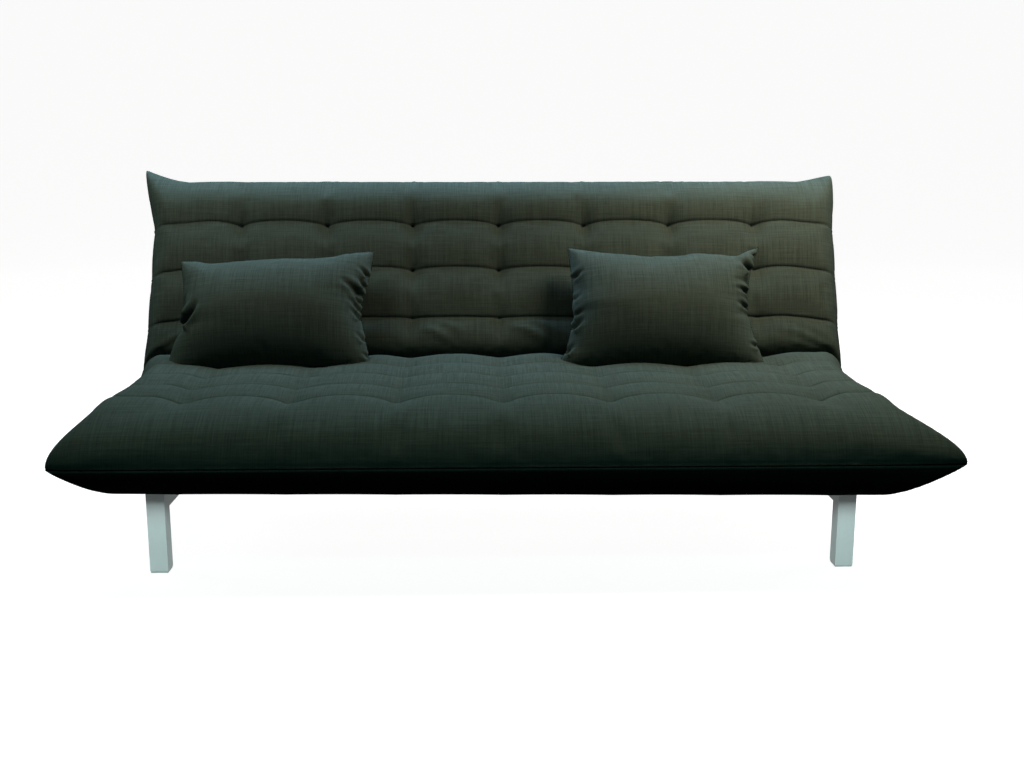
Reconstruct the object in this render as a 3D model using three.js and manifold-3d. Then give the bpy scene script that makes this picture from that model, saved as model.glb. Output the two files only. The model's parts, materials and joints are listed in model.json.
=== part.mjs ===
// Click-clack futon sofa bed: one quilted mattress on a two-part slatted steel frame, which stands on two leg
// frames. The back half turns on a ratchet hinge at each end, from the sofa position down to a flat bed.
// Millimetres, +X to the sitter's left when seen from the front, +Y towards the back, +Z up, origin on the floor
// under the middle of the object.
import * as THREE from "three";
import { mergeVertices } from "three/addons/utils/BufferGeometryUtils.js";
import Module from "manifold-3d";

const wasm = await Module();
wasm.setup();

// ---- Driving dimensions -------------------------------------------------------------------------------------
const GAP = 0.3; // between pieces that touch
const SIDES = [
  { side: "left", sign: -1 },
  { side: "right", sign: 1 },
];

// Mattress, laid out from its front seam back to the hinge, and from the hinge up to its top seam.
const UNDERSIDE_Z = 232; // the plane of the slats' crowns, which the mattress lies on
const PAD_THICKNESS = 160;
const FRONT_CORNER_X = 980; // half-widths: the corners stand out and the sides pull in
const WAIST_X = 945;
const TOP_CORNER_X = 1000;
const SEAT_LENGTH = 868; // front seam to hinge
const BACK_LENGTH = 636; // hinge to top seam
const TOP_CORNER_RISE = 22; // the top corners stand up past the seam
const FRONT_DROOP = 34; // the front seam hangs below the middle of the pad
const RIM_SHARE = 0.08; // thickness of the seam edge, as a share of the pad's

// Hinge and recline.
const HINGE_DROP = 26; // the hinge line is below the mattress
const BACK_LEAN = 20.5; // degrees from upright in the sofa position
const RECLINE = 90 - BACK_LEAN; // degrees from the sofa position to flat
const LOUNGE = 35; // degrees to the middle position

// Steel tube frame.
const TUBE = 30;
const WALL = 1.5;
const FRAME_HALF = 830;
const SEAT_FRAME_FRONT = 138; // behind the front seam
const SEAT_FRAME_END = 820;
const BACK_FRAME_START = 34; // above the hinge
const BACK_FRAME_END = 580;
const SUPPORT_BAR_HEIGHT = 25;

// Bentwood slats.
const SLATS = 10;
const SLAT_WIDTH = 60;
const SLAT_THICKNESS = 8;
const SLAT_CROWN = 8;
const SLAT_PITCH = 156;
const SEAT_SLAT = { from: 98, to: 832 };
const BACK_SLAT = { from: 30, to: 590 };

// Leg frames.
const LEG_TUBE = 40;
const LEG_WALL = 2;
const LEG_X = 770;
const FRONT_LEG = 128; // centres, behind the front seam
const REAR_LEG = 1005;
const FOOT_CAP = 4;
const FOOT_PLUG = 16;
const STRETCHERS = [
  { name: "front_stretcher", at: 315 },
  { name: "rear_stretcher", at: 925 },
];

// Fasteners.
const BOLT_R = 4;
const BOLT_HEAD_R = 7;
const BOLT_HEAD = 6;
const HOLE_R = BOLT_R + GAP;
const FRONT_BOLT = 158;
const REAR_BOLT = 805;

// Ratchet hinge.
const PLATE = 4;
const RATCHET_R = 30;
const NOTCH_DEPTH = 7;
const NOTCH_HALF = 12; // degrees
const PIN_R = 6;
const PAWL_REACH = 36; // pawl pin to nose, along the ratchet's tangent
const PAWL_RADIUS = 41.5; // pawl pin from the hinge line, along the nose's radius
const PAWL_AIM = 225; // degrees round the hinge line where the nose points
const PAWL_LEAD = 7.2; // degrees that the nose swings round the hinge line as it drops in
const PAWL_STUD_R = 4;

// Scatter cushions.
const CUSHION = { width: 512, height: 304, thickness: 124, lean: 26.5 };
const CUSHIONS = [
  { name: "left_cushion", x: -602 },
  { name: "right_cushion", x: 431 },
];
const CUSHION_AT = { y: 692, z: 533 };

// ---- Places worked out from them ----------------------------------------------------------------------------
const rad = THREE.MathUtils.degToRad;
const restTilt = rad(RECLINE);
const slatTop = HINGE_DROP - GAP; // heights from here on are above the hinge line
const slatEndTop = slatTop - SLAT_CROWN;
const railTop = slatEndTop - SLAT_THICKNESS - GAP;
const railBottom = railTop - TUBE;
const hingeZ = UNDERSIDE_Z - HINGE_DROP;
const legTop = hingeZ + railBottom - GAP;
const legBottom = FOOT_CAP + GAP;
const totalDepth = SEAT_LENGTH + BACK_FRAME_END * Math.cos(restTilt) - railBottom * Math.sin(restTilt);
const frontY = -totalDepth / 2; // the front seam
const hingeY = frontY + SEAT_LENGTH;
const foldAngle = rad(180 - RECLINE) / 2; // each half's angle to the plane where the two meet

// ---- Materials ----------------------------------------------------------------------------------------------
const standard = (color, roughness, metalness = 0) =>
  new THREE.MeshStandardMaterial({ color, roughness, metalness });
const LEG_PAINT = standard("#c3d0cc", 0.45);
const FRAME_PAINT = standard("#2b2d2e", 0.55);
const BEECH = standard("#c9a172", 0.5);
const LINEN = standard("#3b4743", 0.95);
const ZINC = standard("#a9adb0", 0.35, 0.9);
const BLACK_PLASTIC = standard("#1d1e1f", 0.6);
const RUBBER = standard("#151515", 0.85);

// ---- Shape helpers ------------------------------------------------------------------------------------------
const AXES = {
  x: new THREE.Vector3(1, 0, 0),
  y: new THREE.Vector3(0, 1, 0),
  z: new THREE.Vector3(0, 0, 1),
};
const ALONG_X = new THREE.Matrix4().makeBasis(AXES.y, AXES.z, AXES.x); // a drawing in Y and Z, extruded along X
const ALONG_Y = new THREE.Matrix4().makeBasis(AXES.z, AXES.x, AXES.y);

function toSolid(geometry) {
  const bare = geometry.clone();
  bare.deleteAttribute("normal");
  bare.deleteAttribute("uv");
  const merged = mergeVertices(bare, 1e-4);
  return new wasm.Manifold(
    new wasm.Mesh({
      numProp: 3,
      vertProperties: merged.attributes.position.array,
      triVerts: new Uint32Array(merged.index.array),
    }),
  );
}

function toGeometry(solid) {
  const mesh = solid.getMesh();
  const geometry = new THREE.BufferGeometry();
  geometry.setAttribute("position", new THREE.BufferAttribute(mesh.vertProperties, 3));
  geometry.setIndex(new THREE.BufferAttribute(mesh.triVerts, 1));
  return geometry;
}

function cut(geometry, ...tools) {
  return toGeometry(tools.reduce((solid, tool) => solid.subtract(toSolid(tool)), toSolid(geometry)));
}

function join(...geometries) {
  return toGeometry(geometries.map(toSolid).reduce((a, b) => a.add(b)));
}

// A box between two corners.
function block([x0, y0, z0], [x1, y1, z1]) {
  return new THREE.BoxGeometry(x1 - x0, y1 - y0, z1 - z0).translate((x0 + x1) / 2, (y0 + y1) / 2, (z0 + z1) / 2);
}

// An open-ended rectangular tube between two corners, hollow along one axis.
function tube(low, high, axis, wall = WALL) {
  const inner = { low: [...low], high: [...high] };
  for (const i of [0, 1, 2]) {
    const change = "xyz"[i] === axis ? -wall : wall;
    inner.low[i] += change;
    inner.high[i] -= change;
  }
  return cut(block(low, high), block(inner.low, inner.high));
}

function rod(radius, from, to, axis, sides = 20) {
  const rodAlongY = new THREE.CylinderGeometry(radius, radius, to - from, sides).translate(0, (from + to) / 2, 0);
  if (axis === "x") return rodAlongY.rotateZ(-Math.PI / 2);
  if (axis === "z") return rodAlongY.rotateX(Math.PI / 2);
  return rodAlongY;
}

// A flat plate drawn in Y and Z.
function plate(shape, x, thickness = PLATE) {
  const options = { depth: thickness, bevelEnabled: false, curveSegments: 12 };
  return new THREE.ExtrudeGeometry(shape, options).applyMatrix4(ALONG_X).translate(x, 0, 0);
}

function round(shape, y, z, radius) {
  const hole = new THREE.Path();
  hole.absarc(y, z, radius, 0, 2 * Math.PI);
  shape.holes.push(hole);
}

// Moves each point of a box of size 2, given as its u, v and w from -1 to 1.
function shaped(segments, place) {
  const geometry = new THREE.BoxGeometry(2, 2, 2, ...segments);
  const points = geometry.attributes.position;
  for (let i = 0; i < points.count; i++) {
    points.setXYZ(i, ...place(points.getX(i), points.getY(i), points.getZ(i)));
  }
  return geometry;
}

const bunched = (u) => Math.sin((u * Math.PI) / 2); // more points towards the edges
const edge = (u) => Math.sqrt(Math.max(0, 1 - Math.abs(u) ** 7)); // thickness across a stuffed form

function addMesh(group, name, geometry, material, position = [0, 0, 0]) {
  const mesh = new THREE.Mesh(geometry, material);
  mesh.name = name;
  mesh.position.set(...position);
  group.add(mesh);
  return mesh;
}

// ---- Mattress halves, drawn flat, Y from the hinge line and Z above it ----------------------------------------
// The halves meet on the plane that splits the angle between them.
const foldEdge = (height) => height / Math.tan(foldAngle) + GAP * 8;

function seatMattress() {
  return shaped([22, 14, 2], (u, v, w) => {
    const x = bunched(u);
    const along = (bunched(v) + 1) / 2; // 0 at the front seam, 1 at the fold
    const front = Math.min(0, bunched(v));
    const share = Math.max(RIM_SHARE, edge(x) * edge(front));
    const middle = PAD_THICKNESS / 2 - FRONT_DROOP * (1 - along) ** 8;
    const height = HINGE_DROP + middle + (w * share * PAD_THICKNESS) / 2;
    const halfWidth = WAIST_X + (FRONT_CORNER_X - WAIST_X) * (1 - along) ** 4;
    const y = -SEAT_LENGTH + along * (SEAT_LENGTH - foldEdge(height));
    return [x * halfWidth, y, height];
  });
}

function backMattress() {
  return shaped([22, 12, 2], (u, v, w) => {
    const x = bunched(u);
    const along = (bunched(v) + 1) / 2; // 0 at the fold, 1 at the top seam
    const top = Math.max(0, bunched(v));
    const share = Math.max(RIM_SHARE, edge(x) * edge(top));
    const height = HINGE_DROP + PAD_THICKNESS / 2 + (w * share * PAD_THICKNESS) / 2;
    const halfWidth = WAIST_X + (TOP_CORNER_X - WAIST_X) * along ** 4;
    const length = BACK_LENGTH + TOP_CORNER_RISE * Math.abs(x) ** 12;
    const y = foldEdge(height) + along * (length - foldEdge(height));
    return [x * halfWidth, y, height];
  });
}

function cushion() {
  return shaped([12, 8, 2], (u, v, w) => {
    const [x, z] = [bunched(u), bunched(v)];
    const share = Math.max(RIM_SHARE, Math.sqrt((1 - x ** 4) * (1 - z ** 4)));
    const pull = (t) => 1 - 0.06 * (1 - t * t); // the sides pull in between the corners
    return [
      (x * pull(z) * CUSHION.width) / 2,
      (-w * share * CUSHION.thickness) / 2,
      (z * pull(x) * CUSHION.height) / 2,
    ];
  });
}

// ---- Slats ----------------------------------------------------------------------------------------------------
// An arched slat along Y, with its ends' undersides at Z 0.
function slat(length) {
  const half = length / 2;
  const archRadius = (half * half + SLAT_CROWN * SLAT_CROWN) / (2 * SLAT_CROWN);
  const reach = Math.asin(half / archRadius);
  const centre = SLAT_CROWN - archRadius;
  const shape = new THREE.Shape();
  shape.absarc(0, centre, archRadius, Math.PI / 2 + reach, Math.PI / 2 - reach, true);
  shape.lineTo(half, SLAT_THICKNESS);
  shape.absarc(0, centre + SLAT_THICKNESS, archRadius, Math.PI / 2 - reach, Math.PI / 2 + reach, false);
  shape.closePath();
  return plate(shape, -SLAT_WIDTH / 2, SLAT_WIDTH);
}

function addSlats(group, prefix, { from, to }) {
  const geometry = slat(to - from);
  for (let i = 0; i < SLATS; i++) {
    const x = (i - (SLATS - 1) / 2) * SLAT_PITCH;
    addMesh(group, `${prefix}_slat_${i + 1}`, geometry, BEECH, [x, (from + to) / 2, slatEndTop - SLAT_THICKNESS]);
  }
}

// ---- Leg frames -----------------------------------------------------------------------------------------------
// A U of square tube upside down, open at its feet, drawn with Y from the front seam.
function legFrame() {
  const arch = (inset) => {
    const outer = { y0: FRONT_LEG - LEG_TUBE / 2 + inset, y1: REAR_LEG + LEG_TUBE / 2 - inset };
    const leg = LEG_TUBE - 2 * inset;
    const [bottom, top] = [legBottom - inset, legTop - inset];
    const shape = new THREE.Shape();
    shape.moveTo(outer.y0, bottom);
    shape.lineTo(outer.y0 + leg, bottom);
    shape.lineTo(outer.y0 + leg, top - leg);
    shape.lineTo(outer.y1 - leg, top - leg);
    shape.lineTo(outer.y1 - leg, bottom);
    shape.lineTo(outer.y1, bottom);
    shape.lineTo(outer.y1, top);
    shape.lineTo(outer.y0, top);
    shape.closePath();
    return plate(shape, -leg / 2, leg);
  };
  const upright = [FRONT_BOLT, REAR_BOLT].map((y) =>
    rod(HOLE_R, legTop - 2 * LEG_TUBE, legTop + LEG_TUBE, "z").translate(0, y, 0),
  );
  const across = STRETCHERS.map(({ at }) =>
    rod(HOLE_R, -LEG_TUBE, LEG_TUBE, "x").translate(0, at, legTop - LEG_TUBE / 2),
  );
  return cut(arch(0), arch(LEG_WALL), ...upright, ...across);
}

// The plastic plug that closes a leg's foot and stands on the floor.
function foot() {
  const cap = LEG_TUBE / 2 - 1;
  const plug = LEG_TUBE / 2 - LEG_WALL - GAP;
  return join(
    block([-cap, -cap, 0], [cap, cap, FOOT_CAP]),
    block([-plug, -plug, FOOT_CAP - 1], [plug, plug, FOOT_CAP + FOOT_PLUG]),
  );
}

// A tube between the leg frames, with an end plate that takes a bolt.
function stretcher() {
  const half = LEG_X - LEG_TUBE / 2 - GAP;
  const [outer, inner] = [TUBE / 2, TUBE / 2 - WALL];
  const endPlate = 5;
  return cut(
    block([-half, -outer, -outer], [half, outer, outer]),
    block([endPlate - half, -inner, -inner], [half - endPlate, inner, inner]),
    rod(HOLE_R, -half - 1, half + 1, "x"),
  );
}

// A bolt along Z, its head below Z 0.
function bolt(shank) {
  const profile = [
    [0, -BOLT_HEAD],
    [BOLT_HEAD_R - 1, -BOLT_HEAD],
    [BOLT_HEAD_R, 1 - BOLT_HEAD],
    [BOLT_HEAD_R, 0],
    [BOLT_R, 0],
    [BOLT_R, shank - 1],
    [BOLT_R - 1, shank],
    [0, shank],
  ];
  return new THREE.LatheGeometry(
    profile.map(([r, z]) => new THREE.Vector2(r, z)),
    20,
  ).rotateX(Math.PI / 2);
}

function addLegs(group) {
  const railMiddle = legTop - LEG_TUBE / 2;
  for (const { side, sign } of SIDES) {
    const x = sign * LEG_X;
    addMesh(group, `${side}_leg_frame`, legFrame(), LEG_PAINT, [x, frontY, 0]);
    addMesh(group, `front_${side}_foot`, foot(), BLACK_PLASTIC, [x, frontY + FRONT_LEG, 0]);
    addMesh(group, `rear_${side}_foot`, foot(), BLACK_PLASTIC, [x, frontY + REAR_LEG, 0]);
    const bolts = { front: FRONT_BOLT, rear: REAR_BOLT };
    for (const [end, y] of Object.entries(bolts)) {
      const seatBolt = bolt(LEG_TUBE + TUBE / 2);
      addMesh(group, `${end}_${side}_seat_bolt`, seatBolt, ZINC, [x, frontY + y, legTop - LEG_TUBE - GAP]);
    }
    for (const { name, at } of STRETCHERS) {
      const boltX = x + sign * (LEG_TUBE / 2 + GAP);
      const place = [boltX, frontY + at, railMiddle];
      const mesh = addMesh(group, `${side}_${name}_bolt`, bolt(LEG_TUBE + TUBE / 2), ZINC, place);
      mesh.rotation.y = (-sign * Math.PI) / 2;
    }
  }
  for (const { name, at } of STRETCHERS) {
    addMesh(group, name, stretcher(), FRAME_PAINT, [0, frontY + at, railMiddle]);
  }
}

// ---- Seat frame, Y from the front seam, Z above the hinge line -------------------------------------------------
function addSeatFrame(group) {
  const inner = FRAME_HALF - TUBE;
  const crossRail = (y, boltY) =>
    cut(
      tube([GAP - inner, y, railBottom], [inner - GAP, y + TUBE, railTop], "x"),
      ...SIDES.map(({ sign }) => rod(HOLE_R, railBottom - TUBE / 2, 0, "z", 20).translate(sign * LEG_X, boltY, 0)),
    );
  const place = [0, frontY, hingeZ];
  addMesh(group, "seat_front_rail", crossRail(SEAT_FRAME_FRONT, FRONT_BOLT), FRAME_PAINT, place);
  addMesh(group, "seat_rear_rail", crossRail(SEAT_FRAME_END - TUBE, REAR_BOLT), FRAME_PAINT, place);
  const sideRail = () =>
    tube([-TUBE / 2, SEAT_FRAME_FRONT, railBottom], [TUBE / 2, SEAT_FRAME_END, railTop], "y");
  for (const { side, sign } of SIDES) {
    const x = sign * (FRAME_HALF - TUBE / 2);
    addMesh(group, `seat_${side}_rail`, sideRail(), FRAME_PAINT, [x, frontY, hingeZ]);
  }
  const slatGroup = new THREE.Group();
  slatGroup.position.set(...place);
  addSlats(slatGroup, "seat", SEAT_SLAT);
  group.add(slatGroup);
}

// ---- Back frame, drawn flat, Y from the hinge line, Z above it -------------------------------------------------
const backRailOuter = FRAME_HALF + GAP + PLATE + GAP / 3; // just clear of the seat plate

function addBackFrame(group) {
  const inner = backRailOuter - TUBE - GAP;
  const crossRail = (y, height = TUBE) => tube([-inner, y, railTop - height], [inner, y + TUBE, railTop], "x");
  addMesh(group, "back_bottom_rail", crossRail(BACK_FRAME_START), FRAME_PAINT);
  addMesh(group, "back_top_rail", crossRail(BACK_FRAME_END - TUBE), FRAME_PAINT);
  const supportY = REAR_LEG - SEAT_LENGTH - TUBE / 2;
  addMesh(group, "back_support_bar", crossRail(supportY, SUPPORT_BAR_HEIGHT), FRAME_PAINT);
  const sideRail = () =>
    tube([-TUBE / 2, BACK_FRAME_START, railBottom], [TUBE / 2, BACK_FRAME_END, railTop], "y");
  for (const { side, sign } of SIDES) {
    addMesh(group, `back_${side}_rail`, sideRail(), FRAME_PAINT, [sign * (backRailOuter - TUBE / 2), 0, 0]);
  }
  addSlats(group, "back", BACK_SLAT);
}

// The rubber pads on the rear legs that the flat back comes down on.
function addBuffers(group) {
  const height = hingeZ + railTop - SUPPORT_BAR_HEIGHT - legTop - 2 * GAP;
  for (const { side, sign } of SIDES) {
    const pad = rod(14, 0, height, "z", 24);
    addMesh(group, `${side}_stop_buffer`, pad, RUBBER, [sign * LEG_X, frontY + REAR_LEG, legTop + GAP]);
  }
}

// ---- Ratchet hinges, Y and Z from the hinge line ---------------------------------------------------------------
const seatPlateX = FRAME_HALF + GAP;
const ratchetX = seatPlateX + PLATE + 1.5 * GAP;
const radial = (degrees) => new THREE.Vector2(Math.cos(rad(degrees)), Math.sin(rad(degrees)));
const pawlPin = radial(PAWL_AIM)
  .multiplyScalar(PAWL_RADIUS)
  .add(radial(PAWL_AIM - 90).multiplyScalar(PAWL_REACH));

// The plate on the seat frame, with the stud that the pawl turns on.
function seatPlate() {
  const headR = RATCHET_R - 6;
  const tailY = -180;
  const shape = new THREE.Shape();
  shape.moveTo(tailY, railBottom + 2);
  shape.lineTo(0, -headR);
  shape.absarc(0, 0, headR, -Math.PI / 2, Math.PI / 2, false);
  shape.lineTo(pawlPin.x, headR - 4);
  shape.lineTo(tailY + 40, railTop - 1);
  shape.lineTo(tailY, railTop - 1);
  shape.closePath();
  round(shape, 0, 0, PIN_R + GAP);
  const stud = rod(PAWL_STUD_R, seatPlateX + PLATE / 2, ratchetX + PLATE + 2, "x");
  return join(plate(shape, seatPlateX), stud.translate(0, pawlPin.x, pawlPin.y));
}

// The arm on the back frame, whose head is the ratchet: a notch for each position.
function ratchetArm() {
  const armEnd = 190;
  const halfArm = TUBE / 2 - 2;
  const armMiddle = railTop - TUBE / 2;
  const notches = [0, LOUNGE, RECLINE].map((turn) => PAWL_AIM - PAWL_LEAD - RECLINE + turn);
  const shape = new THREE.Shape();
  const corner = Math.atan2(armMiddle + halfArm, RATCHET_R);
  shape.moveTo(RATCHET_R * Math.cos(corner), RATCHET_R * Math.sin(corner));
  let from = corner;
  for (const notch of notches) {
    const [start, end] = [rad(notch - NOTCH_HALF), rad(notch + NOTCH_HALF)];
    shape.absarc(0, 0, RATCHET_R, from, start, false);
    const bottom = radial(notch).multiplyScalar(RATCHET_R - NOTCH_DEPTH);
    shape.lineTo(bottom.x, bottom.y);
    shape.lineTo(RATCHET_R * Math.cos(end), RATCHET_R * Math.sin(end));
    from = end;
  }
  const last = 2 * Math.PI + Math.asin((armMiddle - halfArm) / RATCHET_R);
  shape.absarc(0, 0, RATCHET_R, from, last, false);
  shape.lineTo(armEnd, armMiddle - halfArm);
  shape.absarc(armEnd, armMiddle, halfArm, -Math.PI / 2, Math.PI / 2, false);
  shape.closePath();
  round(shape, 0, 0, PIN_R + GAP);
  return plate(shape, ratchetX);
}

// The pawl, lifted just clear of the ratchet: a bar with a nose.
function pawl() {
  const [tangent, outward] = [radial(PAWL_AIM - 90), radial(PAWL_AIM)];
  const at = (along, out) => {
    const p = tangent.clone().multiplyScalar(along).add(outward.clone().multiplyScalar(out));
    return [p.x, p.y];
  };
  const halfBar = 4.5;
  const nose = 3;
  const shape = new THREE.Shape();
  shape.moveTo(...at(PAWL_REACH, PAWL_RADIUS - 2 * halfBar + 1));
  shape.lineTo(...at(nose, PAWL_RADIUS - halfBar));
  shape.lineTo(...at(0, RATCHET_R + 0.5));
  shape.lineTo(...at(-nose, PAWL_RADIUS - halfBar));
  shape.lineTo(...at(-nose, PAWL_RADIUS + halfBar));
  shape.lineTo(...at(PAWL_REACH, PAWL_RADIUS + 2 * halfBar - 1));
  shape.lineTo(...at(PAWL_REACH + 2 * halfBar - 1, PAWL_RADIUS + halfBar));
  shape.lineTo(...at(PAWL_REACH + 2 * halfBar - 1, PAWL_RADIUS - halfBar));
  shape.closePath();
  round(shape, pawlPin.x, pawlPin.y, PAWL_STUD_R + GAP);
  return plate(shape, ratchetX);
}

// The rivet that both plates turn on, with a head outside and a washer head inside.
function hingeRivet() {
  const [inside, outside] = [seatPlateX - GAP, ratchetX + PLATE + GAP];
  const headR = 11;
  const profile = [
    [0, inside - 4],
    [headR, inside - 4],
    [headR, inside],
    [PIN_R, inside],
    [PIN_R, outside],
    [headR, outside],
    [headR, outside + 3],
    [headR - 3, outside + 5],
    [0, outside + 5],
  ];
  const points = profile.map(([r, x]) => new THREE.Vector2(r, x));
  return new THREE.LatheGeometry(points, 24).rotateZ(-Math.PI / 2);
}

// A hinge piece is drawn on the right, and the left one is its mirror image in X.
function addPair(group, name, geometry, material) {
  for (const { side, sign } of SIDES) {
    const mesh = addMesh(group, `${side}_${name}`, geometry, material);
    mesh.scale.x = sign;
  }
}

// ---- Assembly -------------------------------------------------------------------------------------------------
const sofa = new THREE.Group();
addLegs(sofa);
addSeatFrame(sofa);
addBuffers(sofa);

const hinge = new THREE.Group();
hinge.position.set(0, hingeY, hingeZ);
addPair(hinge, "hinge_seat_plate", seatPlate(), ZINC);
addPair(hinge, "hinge_rivet", hingeRivet(), ZINC);
addPair(hinge, "hinge_pawl", pawl(), ZINC);
addMesh(hinge, "seat_mattress", seatMattress(), LINEN);
sofa.add(hinge);

const back = new THREE.Group();
back.position.copy(hinge.position);
back.rotation.x = restTilt;
addBackFrame(back);
addPair(back, "hinge_ratchet_arm", ratchetArm(), ZINC);
addMesh(back, "back_mattress", backMattress(), LINEN);
sofa.add(back);

for (const { name, x } of CUSHIONS) {
  const mesh = addMesh(sofa, name, cushion(), LINEN, [x, frontY + CUSHION_AT.y, CUSHION_AT.z]);
  mesh.rotation.x = -rad(CUSHION.lean);
}

export default sofa;
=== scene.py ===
"""The looks of the click-clack futon sofa bed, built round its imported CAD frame. Metres, +X right, +Y back, +Z up."""
import json
import math

import bpy
import numpy as np
from mathutils import Euler, Matrix, Vector


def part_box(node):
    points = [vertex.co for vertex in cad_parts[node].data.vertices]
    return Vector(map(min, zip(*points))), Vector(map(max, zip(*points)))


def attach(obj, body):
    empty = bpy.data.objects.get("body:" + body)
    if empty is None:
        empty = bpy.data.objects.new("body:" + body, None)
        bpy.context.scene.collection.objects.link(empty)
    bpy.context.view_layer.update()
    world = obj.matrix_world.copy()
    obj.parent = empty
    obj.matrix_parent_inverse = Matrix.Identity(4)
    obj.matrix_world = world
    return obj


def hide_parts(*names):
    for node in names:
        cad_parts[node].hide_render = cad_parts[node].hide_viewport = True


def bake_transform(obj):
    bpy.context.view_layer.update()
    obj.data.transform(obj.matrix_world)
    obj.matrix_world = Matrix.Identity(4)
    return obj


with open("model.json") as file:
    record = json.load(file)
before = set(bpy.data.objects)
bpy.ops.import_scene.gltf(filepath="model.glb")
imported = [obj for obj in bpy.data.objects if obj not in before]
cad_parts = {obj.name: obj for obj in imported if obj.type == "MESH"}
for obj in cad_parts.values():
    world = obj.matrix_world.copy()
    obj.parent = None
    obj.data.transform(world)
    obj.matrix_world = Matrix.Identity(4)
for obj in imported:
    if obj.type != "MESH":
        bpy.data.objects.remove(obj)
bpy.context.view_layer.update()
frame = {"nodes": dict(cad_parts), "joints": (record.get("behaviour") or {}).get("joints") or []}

# ---- Places read from the frame -------------------------------------------------------------------------------
RECLINE = next(joint for joint in frame["joints"] if joint["name"] == "back_recline")
HINGE = Vector(RECLINE["pos_m"])
FOLD = math.radians(RECLINE["range_deg"][1])
FRONT_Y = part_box("seat_mattress")[0].y
SLAT_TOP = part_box("seat_slat_1")[1].z - HINGE.z  # heights here are above the hinge line
CUSHION_PLACES = [sum(corner.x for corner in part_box(name)) / 2 for name in ("left_cushion", "right_cushion")]

# ---- The mattress's driving sizes -----------------------------------------------------------------------------
HALF = 0.985  # half the width of the plan, before the outline is drawn
LENGTH = 1.507  # front seam to top seam, laid flat
HINGE_AT = HINGE.y - FRONT_Y
CROWN = 0.186  # the puffed top's height, and the heights of the back's and the front's rim seams
RIM = 0.096
FRONT_RIM = 0.062
COLUMN_PITCH = 0.238
COLUMNS = COLUMN_PITCH * np.arange(-3, 4)
SEAT_ROWS = [0.188, 0.318, 0.452, 0.585, 0.720]
FOLD_ROW = 0.839
BACK_ROWS = [0.958, 1.092, 1.230, 1.359]
ROWS = np.array([*SEAT_ROWS, FOLD_ROW, *BACK_ROWS])
OUTLINE_AT = np.array([0, 0.12, 0.30, 0.55, 0.84, 1.10, 1.35, LENGTH])
OUTLINE = {  # how far the left and right rims lie from the middle there
    -1: np.array([0.974, 0.933, 0.917, 0.933, 0.992, 0.975, 0.969, 1.019]),
    1: np.array([1.000, 0.907, 0.889, 0.906, 0.967, 0.956, 0.956, 0.978]),
}
EARS = {-1: 0.0540, 1: 0.0370}  # how far the top corners are drawn out past the top seam, and where that begins
EAR_FROM_X = 0.85
EAR_FROM_S = 1.30
BLUNT = 0.008  # how far the points of the front and top corners are drawn in
EAR_BLUNT = 0.022
SIDE_ROUND = 0.060  # how far from its seams the mattress reaches its full thickness, above and below
LOW_SIDE_ROUND = 0.110
FRONT_ROUND = 0.189
TOP_ROUND = 0.10
ROUND_POWER = 0.62  # how blunt that rounding is, above and below
LOW_POWER = 1.2
DROOP = 0.087  # how far the front roll hangs below the slats, and how much more it does per metre to the right
DROOP_TILT = 0.014
CREASE_BAND = 0.015  # half-width of the band in which the mattress bends
CREASE_TURN = (math.pi + FOLD) / 2
CREASE_NORMAL = (math.sin(CREASE_TURN), -math.cos(CREASE_TURN))  # y and z
SEAM_TUCK = 0.006  # how far the rim seam is drawn in
GROOVE = 0.0045  # half-width of a sewn groove
CHANNEL_DEPTH, CHANNEL_REACH = 0.0075, 0.018  # the broad dip along a seam, and the sharp one at its stitches
STITCH_DEPTH, STITCH_REACH = 0.0045, 0.0035
TUFT_DEPTH, TUFT_DEEPER = 0.014, 0.020  # a tuft's depth, and how much deeper the tufts are high on the back
TUFT_REACH = (0.042, 0.024)  # along and across
SWAG_DEPTH, SWAG_REACH = 0.012, 0.045  # the seat's cloth hangs between its tufts
SIDE_FALL = 0.024  # how far the back's seams fall towards its sides
BOWS = (  # places along the mattress, and how far a seam arches there between the tufts
    [0, 0.188, 0.72, 0.839, 1.092, 1.230, 1.359],
    [0, 0.010, 0.008, 0.003, 0.002, 0.0055, 0.0085],
)
CREASES = [  # from, to, half-width and height of each slanting fold
    ((-0.235, 1.068), (-0.115, 1.000), 0.0085, 0.0075),
    ((-0.200, 1.082), (-0.085, 1.035), 0.0070, 0.0040),
    ((0.005, 1.072), (0.150, 0.998), 0.0090, 0.0080),
    ((0.050, 1.084), (0.175, 1.040), 0.0070, 0.0045),
    ((-0.480, 1.070), (-0.370, 1.008), 0.0080, 0.0050),
    ((0.270, 1.076), (0.380, 1.020), 0.0080, 0.0055),
    ((0.640, 1.070), (0.520, 1.006), 0.0080, 0.0050),
    ((-0.700, 1.045), (-0.600, 1.002), 0.0080, 0.0050),
]
BUNCH_HEIGHT = 0.0070  # the bunched folds at the crease's two ends, and the lengths of their waves
BUNCH_WAVE = 0.034
BUNCH_RIPPLE = 0.019
DENT = 0.010  # how far a cushion presses into the seat, at this place along it, and how far that reaches
DENT_AT = 0.66
DENT_LENGTH = 0.16
DENT_HALF = 0.31
CORD_RADIUS = 0.0017
CORD_OUT = 0.0022  # how far the rim cord's middle stands out from the seam
LOOSE_AT, LOOSE_REACH = 1.045, 0.12  # the stretch low on the back where the cloth is cut loose
MATTRESS_PUFF = 0.012  # how far the simulation may move a point

# ---- The cushions' driving sizes --------------------------------------------------------------------------------
CUSHION_LEAN = math.radians(26.5)
SETTLE = np.array((0.0, -0.007, -0.022))  # how far the cushions have slid forward and sunk into the seat
CUSHION_CELLS = (97, 111)  # grid points across and up
CUSHION_FRONT = 0.100  # how far the belly stands in front of the seam, and the rear behind it
CUSHION_REAR = 0.042
SEAT_PRESS = 0.022  # how far a cushion may press into the seat and into the back
BACK_PRESS = 0.006
CUSHION_PUFF = 0.010

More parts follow.
